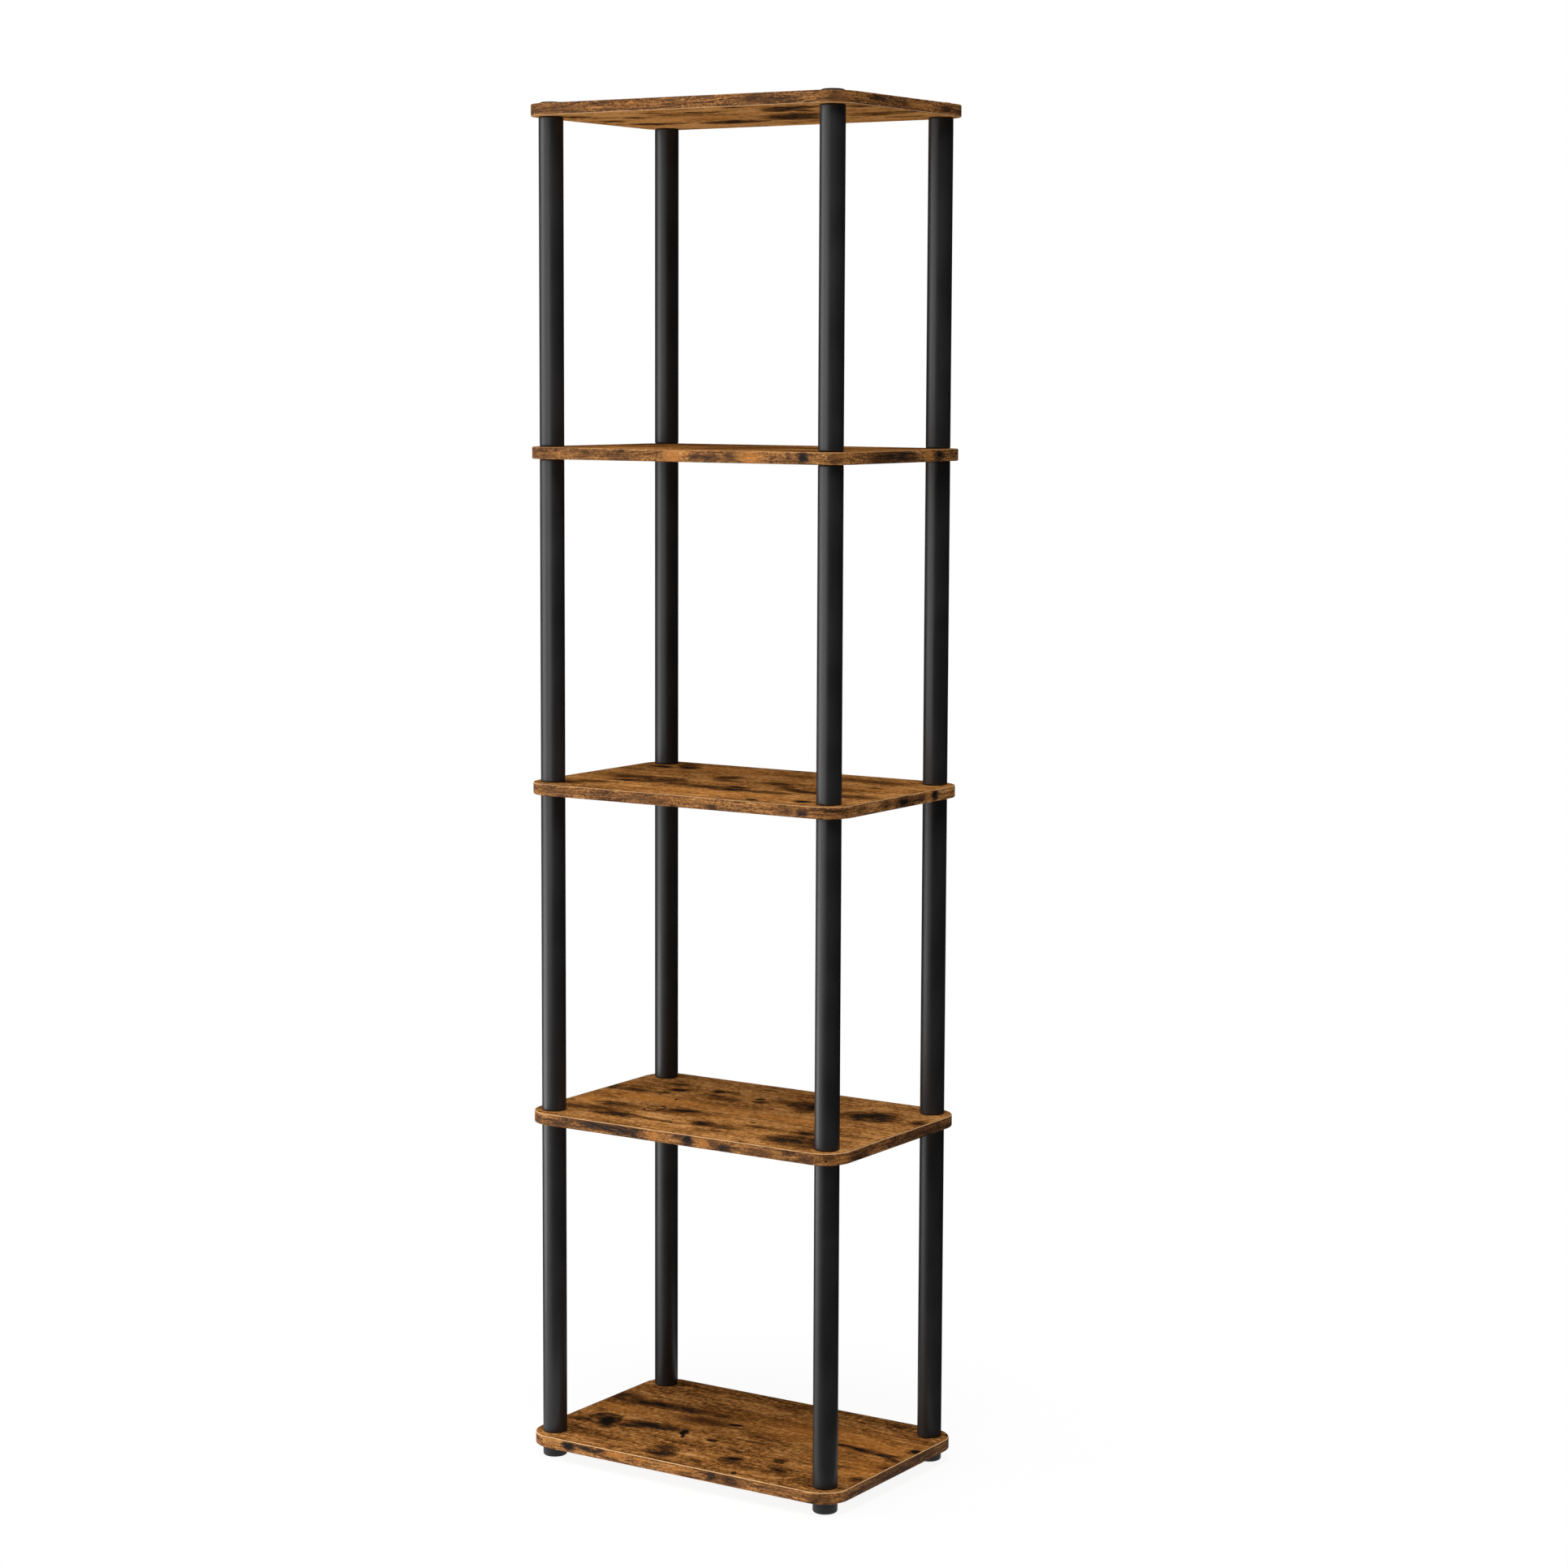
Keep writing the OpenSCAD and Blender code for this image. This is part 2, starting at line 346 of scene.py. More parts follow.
# Features of each board's pictured face, in mm from its middle:
# x, y, half length, half width, angle in degrees, strength.
BOARD_SMOKE = {
    1: [
        (-128, 35, 66, 10, 3, 1.0),
        (-185, 45, 20, 14, 0, 0.6),
        (-55, 38, 14, 7, 0, 0.6),
        (-58, 12, 42, 15, 0, 0.4),
        (-160, -38, 18, 13, -30, 0.65),
        (-147, -47, 21, 12, -58, 1.4),
        (-95, -33, 31, 10, 3, 1.1),
        (-122, -48, 26, 6, 12, 0.9),
        (-178, -56, 16, 8, 0, 0.6),
        (-38, -94, 17, 12, 0, 0.7),
        (-34, -107, 19, 12, 0, 0.95),
        (45, -86, 14, 12, 0, 0.9),
        (104, -88, 13, 6, -18, 0.7),
        (190, -68, 10, 10, 0, 0.6),
        (194, 45, 9, 8, 0, 1.0),
        (150, 19, 46, 7, -6, 0.7),
        (188, 8, 16, 6, -10, 0.6),
        (193, -18, 7, 9, 0, 0.7),
        (90, -62, 9, 8, 0, 0.6),
        (12, -110, 13, 6, -10, 0.5),
        (-190, -90, 20, 14, 0, 0.5),
    ],
    2: [
        (47, 60, 29, 18, -20, 1.0),
        (55, 38, 14, 10, 0, 0.6),
        (132, 52, 30, 23, 0, 1.15),
        (108, 48, 16, 22, 0, 0.6),
        (140, 75, 16, 9, 0, 0.6),
        (190, 55, 10, 12, 0, 0.8),
        (-122, 52, 13, 7, 30, 0.9),
        (-130, 32, 12, 6, 20, 0.7),
        (-140, 78, 18, 7, 10, 0.6),
        (-168, 28, 27, 9, 0, 0.55),
        (-193, 30, 9, 14, 0, 0.7),
        (-78, 70, 9, 8, 0, 0.8),
        (-63, 75, 9, 6, 0, 0.6),
        (-60, 45, 28, 10, -10, 0.55),
        (-10, 50, 10, 8, 0, 0.7),
        (12, 65, 16, 10, 0, 0.5),
        (-53, -34, 20, 8, 5, 1.05),
        (-137, -46, 30, 11, 0, 0.7),
        (-70, -44, 21, 8, -8, 0.6),
        (-107, -88, 30, 10, 0, 0.95),
        (-50, -88, 34, 5, -3, 0.6),
        (0, -76, 17, 11, -10, 1.05),
        (22, -78, 28, 8, -5, 0.55),
        (124, -89, 33, 19, 5, 1.1),
        (150, -92, 17, 14, 0, 0.7),
        (118, -57, 14, 8, 0, 0.8),
        (140, -108, 34, 8, 0, 0.5),
        (-150, -75, 44, 12, 5, 0.5),
        (60, -56, 19, 6, 0, 0.6),
    ],
    3: [
        (-160, 78, 20, 8, -5, 1.0),
        (-130, 86, 16, 13, -30, 0.95),
        (-142, 102, 14, 14, 0, 0.5),
        (-110, -47, 31, 8, 8, 1.0),
        (-125, -20, 42, 17, 0, 0.65),
        (-85, -25, 29, 19, -20, 0.8),
        (-58, -42, 24, 13, -30, 0.6),
        (-40, 30, 16, 20, 0, 0.55),
        (-10, -50, 28, 12, 0, 0.85),
        (22, -55, 30, 12, 0, 0.95),
        (15, -38, 18, 8, -10, 0.9),
        (35, 12, 20, 13, -20, 0.65),
        (56, -4, 17, 8, -20, 0.75),
        (82, -25, 32, 10, -20, 0.7),
        (110, -32, 24, 10, 0, 0.8),
        (62, -55, 34, 10, 0, 0.65),
        (160, -38, 34, 14, 0, 0.65),
        (140, -101, 11, 9, 0, 1.1),
        (120, 85, 34, 12, 0, 0.45),
        (-145, -80, 24, 14, 0, 0.5),
        (-160, -97, 17, 15, 0, 0.7),
        (-25, 4, 18, 5, 0, 0.65),
    ],
    4: [
        (-150, 60, 46, 10, 3, 0.9),
        (-60, 84, 34, 9, -4, 0.6),
        (60, 20, 60, 11, 2, 0.95),
        (10, -60, 46, 9, -3, 0.8),
        (130, -86, 34, 13, 5, 0.9),
        (150, 76, 30, 12, 0, 0.7),
        (-110, -40, 40, 9, 6, 0.7),
        (-170, -88, 24, 12, 0, 0.6),
        (170, -20, 24, 9, 0, 0.7),
    ],
    5: [
        (-145, 40, 24, 14, 10, 1.15),
        (-117, 42, 15, 8, 0, 0.7),
        (-52, 54, 38, 18, -8, 1.15),
        (-37, 40, 17, 10, 0, 0.7),
        (-14, 57, 11, 8, 0, 0.7),
        (40, 28, 34, 30, -25, 1.1),
        (66, 2, 32, 20, -20, 1.05),
        (86, -66, 26, 16, -30, 1.1),
        (101, -50, 12, 14, -10, 1.0),
        (112, -86, 34, 17, -15, 1.2),
        (142, -90, 24, 12, 0, 0.65),
        (-157, -85, 15, 12, 0, 0.8),
        (-107, -48, 15, 9, 0, 0.8),
        (-160, -15, 16, 13, -40, 0.6),
        (-50, -66, 24, 10, 0, 0.5),
        (-55, -90, 17, 10, 0, 0.55),
        (-14, -75, 11, 12, -30, 0.6),
        (6, -72, 13, 7, -20, 0.6),
        (60, -118, 11, 7, 0, 0.8),
        (150, 78, 24, 10, 0, 0.6),
        (132, 40, 28, 12, 0, 0.5),
        (152, 25, 34, 14, 0, 0.5),
        (185, 20, 15, 11, 0, 0.75),
        (184, -70, 16, 17, 0, 0.6),
    ],
}
BOARD_MARKS = {
    1: [
        (-53, -35, 4.6, 9, 20, 1.0),
        (-47, -46, 2.2, 6, 28, 1.0),
        (-11, -42, 6.5, 4.5, 0, 1.0),
        (-20, 18, 9, 3.5, 15, 1.0),
        (-148, -46, 15, 7, -58, 0.95),
        (-104, -34, 14, 3, 4, 0.8),
        (-140, 34, 22, 3, 4, 0.8),
        (30, -58, 14, 1.4, -14, 0.9),
        (18, -69, 9, 1.3, 0, 0.8),
        (-13, -83, 4, 1.8, 0, 0.8),
        (46, -81, 8, 3.5, 10, 0.9),
        (104, -88, 8, 1.6, -25, 0.9),
        (71, -122, 2.6, 6, 25, 0.9),
        (118, 24, 14, 2.4, 0, 0.75),
        (140, 20, 12, 3.0, -14, 0.8),
        (163, 16, 14, 2.4, -12, 0.75),
        (184, 21, 9, 2.6, 10, 0.75),
        (188, 10, 10, 2.0, -8, 0.75),
        (195, 46, 4, 5, 0, 1.0),
        (-35, -112, 6, 3, 0, 0.8),
    ],
    2: [
        (-95, 10, 2.2, 5, 18, 0.9),
        (-94, 30, 0.9, 16, 2, 0.6),
        (41, -41, 3.2, 2.4, 0, 1.0),
        (161, -20, 3, 1.4, 0, 0.8),
        (-18, 62, 6, 4, 10, 1.0),
        (-122, 53, 6, 3, 30, 0.9),
        (-79, 70, 4, 4, 0, 0.8),
        (20, 25, 4, 3, 0, 0.8),
        (-54, -34, 12, 3.5, 4, 0.8),
        (-2, -76, 9, 5, -8, 0.7),
        (128, 56, 11, 9, 15, 0.6),
        (-106, -89, 14, 4, 0, 0.5),
        (117, -57, 6, 3, 0, 0.7),
        (56, 56, 10, 6, -25, 0.5),
    ],
    3: [
        (-160, 78, 11, 4, -5, 0.8),
        (-128, 84, 9, 5, -30, 0.7),
        (-116, -47, 12, 3.5, 10, 0.8),
        (88, -117, 8, 5, -20, 1.0),
        (140, -102, 8, 5, 0, 0.9),
        (15, -36, 10, 3, -10, 0.6),
        (20, -52, 14, 4, 0, 0.5),
        (-38, -26, 5, 3, 0, 0.6),
    ],
    4: [
        (-140, 58, 16, 2.5, 3, 0.8),
        (70, 20, 22, 3, 2, 0.8),
        (132, -88, 14, 4, 5, 0.7),
        (-20, 40, 4, 3, 0, 0.9),
        (20, -58, 14, 2, -3, 0.7),
    ],
    5: [
        (-148, 36, 12, 4, 10, 0.7),
        (-50, 54, 16, 5, -5, 0.6),
        (101, -50, 6, 6, 0, 0.7),
        (-108, -50, 6, 3, 0, 0.7),
        (60, -119, 6, 3, 0, 0.8),
        (-15, -78, 5, 7, -30, 0.5),
        (116, -84, 10, 4, -15, 0.6),
    ],
}
BOARD_RINGS = {
    1: [(-156, -41, 17, 18, 0, 0.75), (90, -63, 5.5, 5, 0, 0.8), (-180, 40, 17, 11, 0, 0.35)],
    2: [(-87, -42, 9.5, 14, 8, 0.85), (-118, 55, 11, 8, 20, 0.5), (-64, 72, 10, 6, 0, 0.4)],
    3: [(-38, 24, 9, 12, 0, 0.3)],
    4: [(-20, 40, 12, 8, 0, 0.6)],
    5: [(-55, 56, 22, 9, -5, 0.3)],
}
BOARD_LINES = {
    1: [(0, 113, 230, 22, 0, 1.0), (150, 68, 60, 26, 0, 0.4), (120, -75, 60, 30, 0, 0.3)],
    2: [
        (10, -24, 84, 22, 2, 1.0),
        (-150, -22, 44, 16, 0, 0.7),
        (150, -40, 60, 30, 0, 0.4),
        (-120, 60, 70, 30, 0, 0.4),
    ],
    3: [(60, -20, 120, 40, 0, 0.5), (150, 60, 60, 26, 0, 0.5)],
    4: [(0, 0, 190, 30, 0, 0.8)],
    5: [(0, -20, 190, 60, 0, 0.5)],
}
# Lighter patches of the print. On board 1, the two towards its right end are partly painted light, which
# lightens that end.
BOARD_GLOW_AND_PAINTED_LIGHT = {
    1: [
        (-160, 2, 46, 16, 0, 0.30),
        (-60, -8, 60, 14, 0, 0.14),
        (110, 40, 150, 45, 0, 0.34),
        (185, -35, 85, 50, 0, 0.3),
    ],
    2: [
        (-110, 0, 100, 20, 0, 0.42),
        (-175, -36, 26, 24, 0, 0.35),
        (40, -8, 110, 18, 0, 0.32),
        (0, -44, 70, 12, 0, 0.2),
    ],
    3: [(-90, 90, 90, 26, 0, 0.25), (20, -90, 130, 22, 0, 0.22), (150, 30, 40, 20, 0, 0.2)],
    4: [(-60, -90, 90, 22, 0, 0.25), (60, 66, 90, 22, 0, 0.2)],
    5: [(-70, -10, 110, 30, 0, 0.28), (-150, 80, 40, 20, 0, 0.2), (120, 105, 60, 14, 0, 0.25)],
}

# Features of each edge strip, in mm: run along the strip from the front's middle, height, half length,
# half height, angle, strength. The right side's middle is at 317.5.
EDGE_SMOKE = {
    1: [
        (-184, 8, 10, 3, 0, 0.7),
        (-140, 7, 11, 6, 0, 1.5),
        (-112, 8, 26, 3.4, -4, 1.05),
        (-84, 3, 16, 2.4, -6, 0.7),
        (-98, 10, 10, 2, 0, 0.8),
        (50, 7, 12, 8, 0, 0.9),
        (72, 7, 22, 8, 0, 0.65),
        (14, 4, 14, 4, 0, 0.4),
        (130, 7, 34, 6, 0, 0.35),
        (182, 6, 16, 7, 0, 0.5),
        (317, 6, 110, 12, 0, 0.3),
    ],
    2: [
        (-182, 6, 12, 8, 0, 0.55),
        (-150, 3, 16, 4, 0, 0.5),
        (-108, 8, 22, 5, -6, 1.1),
        (-78, 6, 34, 5, -8, 1.15),
        (-60, 9, 24, 3, -8, 1.0),
        (-50, 2, 20, 2, -6, 0.8),
        (17, 7, 8, 10, 0, 1.4),
        (5, 10, 12, 4, 0, 0.7),
        (64, 4, 13, 5, 0, 1.1),
        (50, 7, 8, 5, 0, 0.6),
        (110, 5, 26, 6, 0, 0.4),
        (165, 6, 12, 6, 0, 0.6),
        (190, 8, 10, 5, 0, 0.5),
        (240, 6, 20, 9, 0, 0.3),
        (350, 6, 40, 10, 0, 0.3),
        (392, 5, 14, 7, 0, 0.5),
    ],
    3: [
        (46, 4, 11, 4, 0, 0.8),
        (158, 5, 8, 6, 0, 0.8),
        (136, 7, 14, 7, 0, 0.5),
        (-150, 5, 30, 5, 0, 0.35),
        (-40, 5, 40, 5, 0, 0.3),
        (236, 6, 14, 5, 0, 0.5),
        (282, 6, 14, 7, 0, 0.6),
        (320, 6, 24, 8, 0, 1.1),
        (352, 6, 22, 6, 0, 0.6),
        (383, 7, 8, 6, 0, 1.5),
    ],
    4: [
        (-176, 5, 24, 8, 0, 0.4),
        (-118, 7, 22, 8, 0, 0.4),
        (-70, 5, 26, 8, 0, 0.3),
        (26, 5, 10, 5, 0, 0.7),
        (44, 5, 14, 6, 0, 0.75),
        (68, 7, 12, 6, 0, 0.45),
        (140, 7, 5, 7, 0, 0.5),
        (157, 7, 7, 7, 0, 1.5),
        (192, 6, 11, 8, 0, 0.5),
        (262, 6, 20, 8, 0, 0.6),
        (304, 6, 42, 9, 0, 0.85),
        (386, 6, 11, 7, 0, 1.3),
    ],
    5: [
        (-150, 6, 44, 8, 0, 0.36),
        (-118, 5, 12, 6, 0, 0.3),
        (-2, 6, 10, 7, 0, 0.35),
        (100, 7, 40, 8, 0, 0.4),
        (194, 6, 26, 9, 0, 0.4),
        (256, 8, 24, 3, -4, 0.75),
        (310, 6, 10, 4, 0, 0.5),
        (395, 6, 16, 4, 10, 0.6),
    ],
}
EDGE_MARKS = {
    1: [
        (-140, 7, 8, 4, 0, 1.0),
        (-118, 9, 12, 0.8, -3, 0.9),
        (-112, 6.5, 16, 0.8, -3, 0.9),
        (-100, 4, 12, 0.7, -4, 0.8),
        (-96, 10.5, 7, 0.7, 0, 0.9),
        (-60, 5, 7, 0.7, 10, 0.8),
        (-186, 9, 6, 0.8, 0, 0.8),
        (48, 7, 5, 3, 0, 0.5),
    ],
    2: [
        (-104, 9, 12, 0.9, -4, 1.0),
        (-92, 6, 18, 0.8, -5, 0.9),
        (-76, 8.5, 14, 0.9, -5, 1.0),
        (-60, 6, 16, 0.9, -5, 0.9),
        (-48, 10, 10, 1.0, 0, 1.0),
        (-50, 3, 20, 0.6, -5, 0.8),
        (17, 8, 5, 4, 0, 1.0),
        (62, 3, 9, 2, 0, 0.7),
        (188, 5, 1.5, 1, 0, 0.9),
    ],
    3: [
        (158, 5, 4, 2.5, 0, 0.4),
        (46, 3.5, 6, 1.6, 0, 0.5),
        (-160, 9, 5, 0.7, 0, 0.6),
        (284, 6, 1.2, 4, 0, 0.8),
        (320, 6, 12, 2.6, 0, 0.9),
        (346, 5, 14, 0.8, 0, 0.8),
        (383, 8, 5, 3.4, 0, 1.0),
    ],
    4: [
        (157, 7, 4.5, 4.5, 0, 1.0),
        (280, 8, 24, 0.8, 0, 0.9),
        (300, 5.5, 26, 0.9, 0, 0.9),
        (322, 9.5, 20, 0.8, 0, 0.9),
        (328, 3.5, 18, 0.7, 0, 0.8),
        (387, 7, 5.5, 3.6, 0, 1.0),
        (396, 5, 6, 0.8, 0, 0.8),
    ],
    5: [
        (262, 9, 14, 0.9, -6, 0.9),
        (248, 7, 8, 0.7, 0, 0.8),
        (372, 4, 0.7, 2.5, 0, 1.0),
        (415, 8, 0.7, 2.6, 0, 1.0),
        (400, 5, 12, 0.8, 12, 0.8),
        (160, 9, 20, 0.5, 0, 0.5),
        (-150, 7, 18, 0.5, 0, 0.4),
    ],
}
EDGE_GLOW = {
    1: [(-80, 8, 26, 5, 0, 0.4), (-46, 8, 10, 5, 0, 0.35), (6, 7, 24, 5, 0, 0.22), (-196, 5, 8, 5, 0, 0.4)],
    2: [(-26, 6, 12, 8, 0, 0.4), (36, 5, 10, 8, 0, 0.35), (88, 10, 12, 3, 0, 0.2), (208, 5, 10, 5, 0, 0.3)],
    3: [(0, 8, 40, 4, 0, 0.15), (120, 9, 20, 4, 0, 0.15), (368, 8, 16, 5, 0, 0.25), (300, 4, 12, 4, 0, 0.2)],
    4: [(-2, 6, 14, 8, 0, 0.5), (94, 6, 16, 8, 0, 0.5), (12, 9, 10, 4, 0, 0.3), (364, 6, 8, 7, 0, 0.35)],
    5: [(-60, 7, 40, 5, 0, 0.15), (340, 6, 34, 5, 0, 0.25)],
}

# Where spots of each kind are gone and where they are full, as shares of their size.
BOARD_SMOKE_FADE = (1.6, 0.15)
BOARD_MARK_FADE = (1.35, 0.75)
BOARD_LINES_FADE = (1.2, 0.4)
EDGE_SMOKE_FADE = (1.35, 0.15)
EDGE_MARK_FADE = (1.2, 0.5)
GLOW_FADE = (1.3, 0.1)
# Bends that roughen their outlines: size of the noise and how far it shifts a point, in mm, and its detail.
BOARD_SMOKE_BEND = ((9, 3, 1), (13, 4, 0), 3)
BOARD_MARK_BEND = ((5, 3, 1), (5.0, 3.0, 0), 3)
BOARD_RING_BEND = ((11, 7, 1), (12, 8, 0), 2)
EDGE_SMOKE_BEND = ((5, 1.5, 1), (17, 5.0, 0), 4)
EDGE_MARK_BEND = ((5, 2, 1), (4, 1.3, 0), 2)

# Strength of the scorched areas that aren't placed, and of the strips' growth lines.
BOARD_STRAY = 0.55
EDGE_STRAY = 0.2
EDGE_LINES = 0.6
# How much finer than a board's a strip's print is, along and across it.
FINER_ALONG = 1.5
FINER_ACROSS = 2.4
# Run along a strip over which its front's tone goes over into its right side's.
RIGHT_SIDE_RUN = (205, 235)
# Strength of the print's relief, and its depth in metres.
PRINT_RELIEF = (0.35, 0.00006)
BOARD_SPECULAR = 0.0
EDGE_SPECULAR = 0.13

# Arris: a painted tan highlight, the dark seam beside the board, and the slopes at which each shows.
ARRIS_HIGHLIGHT_TAN = (220, 174, 122)
SEAM_BROWN = (52, 33, 19)
ARRIS_SLOPES = (0.34, 0.58)
SEAM_SLOPES = (0.93, 0.985)
# The painted highlight shows in full where this noise is high, and only on the arris beside the pictured
# face.
HIGHLIGHT_NOISE = ((14, 3, 1), 3, 0.6)
HIGHLIGHT_LEVELS = (0.25, 0.5)
HIGHLIGHT_LEAST_SHARE = 0.6
FACING_SLOPES = (-0.1, 0.1)


def object_point_mm(graph):
    """Place on the object, in mm in the row frame."""
    place = graph.add("TexCoord").outputs["Object"]
    return graph.add("VectorMath", (place, (MM, MM, MM)), operation="MULTIPLY").outputs[0]


def lay_print(graph, shader, wood_print, print_inputs):
    """Gives a shader the print's roughness and relief, and returns the print's colour."""
    dressed = graph.add("Group", node_tree=wood_print)
    for name, value in print_inputs.items():
        graph.feed(dressed.inputs[name], value)
    graph.feed(shader.inputs["Roughness"], dressed.outputs["Roughness"])
    graph.feed(shader.inputs["Normal"], bump(graph, dressed.outputs["Height"], *PRINT_RELIEF))
    return dressed.outputs["Colour"]


def make_board_material(number, wood_print, pictured_face):
    """Foil of one board. pictured_face is 1 where the photograph shows its top, and -1 where it shows its
    underside. The other face has the same features, given half a turn, on another cut of the print."""
    material, graph, shader = new_material(f"rustic_board_{number}")
    low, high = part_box(f"shelf_{number}")
    middle = (low.z + high.z) / 2 * MM
    x, y, z = graph.split(object_point_mm(graph))
    above_middle = graph.math("GREATER_THAN", z, middle)
    side = graph.total((above_middle, 2.0 * pictured_face), -1.0 * pictured_face)
    turned_x = graph.times(x, side)
    turned_y = graph.times(y, side)
    shifted_x = graph.total((turned_x, 1.0), (side, SEED_STEP / 2), SEED_STEP * number)
    flat = graph.point(turned_x, turned_y, 0.0)
    rough_flat = graph.warp(flat, *BOARD_SMOKE_BEND)
    crisp_flat = graph.warp(flat, *BOARD_MARK_BEND)
    ring_flat = graph.warp(flat, *BOARD_RING_BEND)
    print_inputs = {
        "Point": graph.point(shifted_x, turned_y, 0.0),
        "Smoke": graph.times(
            graph.patches(rough_flat, BOARD_SMOKE[number], BOARD_SMOKE_FADE),
            graph.fade(side, -1.0, 1.0, FAR_FACE_SMOKE_SHARE, 1.0),
        ),
        "Stray": BOARD_STRAY,
        "Mark": graph.most(
            graph.patches(crisp_flat, BOARD_MARKS[number], BOARD_MARK_FADE),
            graph.rings(ring_flat, BOARD_RINGS[number]),
        ),
        "Lines": graph.patches(flat, BOARD_LINES[number], BOARD_LINES_FADE),
        "Glow": graph.patches(rough_flat, BOARD_GLOW_AND_PAINTED_LIGHT[number], GLOW_FADE),
        "Tone": graph.fade(side, -1.0, 1.0, FAR_FACE_TONE[number], BOARD_TONE[number]),
    }
    graph.feed(shader.inputs["Base Color"], lay_print(graph, shader, wood_print, print_inputs))
    shader.inputs["Specular IOR Level"].default_value = BOARD_SPECULAR
    return material


def make_edge_material(number, wood_print, pictured_face):
    """Edge strip of one board. The print runs once round it. The arris beside the pictured face gets a
    painted tan highlight."""
    material, graph, shader = new_material(f"rustic_edge_{number}")
    low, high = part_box(f"edge_band_{number}")
    x, y, z = graph.split(object_point_mm(graph))
    across_x = graph.math("ABSOLUTE", x)
    across_y = graph.math("ABSOLUTE", y)
    past_x = graph.most(graph.minus(across_x, FLAT_X), 0.0)
    past_y = graph.most(graph.minus(across_y, FLAT_Y), 0.0)
    turn = graph.math("ARCTAN2", past_x, past_y)
    # The run goes from the front's middle to a side's middle and on, mirrored, to the back's middle.
    run = graph.total(
        (graph.least(across_x, FLAT_X), 1.0),
        (turn, CORNER_R),
        (graph.least(across_y, FLAT_Y), -1.0),
        FLAT_Y,
    )
    behind = graph.math("GREATER_THAN", y, 0.0)
    half_run = graph.plus(run, graph.times(behind, graph.total((run, -2.0), 2 * QUARTER_RUN)))
    along = graph.times(half_run, graph.math("SIGN", x))
    height = graph.minus(z, low.z * MM)
    flat = graph.point(along, height, 0.0)
    rough_flat = graph.warp(flat, *EDGE_SMOKE_BEND)
    crisp_flat = graph.warp(flat, *EDGE_MARK_BEND)
    finer_along = graph.total((along, FINER_ALONG), EDGE_SEED + SEED_STEP * number)
    finer_height = graph.times(height, FINER_ACROSS)
    smoke = graph.patches(rough_flat, EDGE_SMOKE[number], EDGE_SMOKE_FADE)
    front_tone = EDGE_TONE[number]
    right_tone = front_tone + EDGE_RIGHT_TONE[number]
    print_inputs = {
        "Point": graph.point(finer_along, finer_height, 0.0),
        "Smoke": graph.times(smoke, EDGE_SMOKE_SHARE),
        "Stray": EDGE_STRAY,
        "Mark": graph.patches(crisp_flat, EDGE_MARKS[number], EDGE_MARK_FADE),
        "Lines": EDGE_LINES,
        "Glow": graph.patches(rough_flat, EDGE_GLOW[number], GLOW_FADE),
        "Tone": graph.fade(along, *RIGHT_SIDE_RUN, front_tone, right_tone),
    }
    colour = lay_print(graph, shader, wood_print, print_inputs)

    # Painted highlight: tan along the arris beside the pictured face, strongest where the noise is high.
    slope = graph.split(graph.add("NewGeometry").outputs["Normal"])[2]
    tilt = graph.math("ABSOLUTE", slope)
    highlight_noise = graph.noise(flat, *HIGHLIGHT_NOISE).outputs[0]
    facing = graph.fade(graph.times(slope, pictured_face), *FACING_SLOPES)
    full_highlight = ARRIS_HIGHLIGHT_STRENGTH[number]
    highlight_share = graph.times(graph.fade(highlight_noise, *HIGHLIGHT_LEVELS, HIGHLIGHT_LEAST_SHARE * full_highlight, full_highlight), facing)
    painted_highlight = graph.times(graph.fade(tilt, *ARRIS_SLOPES), highlight_share)
    seam = graph.fade(tilt, *SEAM_SLOPES)
    colour = graph.mix(painted_highlight, colour, linear(*ARRIS_HIGHLIGHT_TAN))
    colour = graph.mix(seam, colour, linear(*SEAM_BROWN))
    graph.feed(shader.inputs["Base Color"], colour)
    shader.inputs["Specular IOR Level"].default_value = EDGE_SPECULAR
    return material


# Plastics: name, tone, mean roughness, size of the pebble in mm, stretch of the sheen, specular level.
PLASTICS = {
    "tube": ("satin_black_tube", (26, 26, 27), 0.42, 0.5, 30, 0.5),
    "plug": ("satin_black_plug", (22, 22, 23), 0.50, 0.45, 1, 0.5),
    "foot": ("matte_black_foot", (22, 22, 23), 0.58, 0.6, 1, 0.4),
    "cap": ("matte_black_cap", (24, 20, 18), 0.70, 0.6, 1, 0.06),
}
# Noise fields of the plastics: size in mm where it is the same for all, detail, roughness, dimensions.
PEBBLE_NOISE = (1, 0.6, "3D")
SHEEN_SIZE = 3.2
SHEEN_NOISE = (2, 0.55, "3D")
MOTTLE = ((38, 38, 60), 1, 0.5, "3D")
MOTTLE_LEVELS = (0.3, 0.7)
# Levels of colour that mottling takes off and adds, and what sheen and mottling add to the roughness.
# The offset takes their mean off again.
MOTTLE_DARKER = 3
MOTTLE_LIGHTER = 4
SHEEN_ROUGHNESS = 0.14
MOTTLE_ROUGHNESS = 0.10
ROUGHNESS_OFFSET = 0.12
# Strength of the pebble's relief, and its depth in metres.
PEBBLE_RELIEF = (0.25, 0.00004)


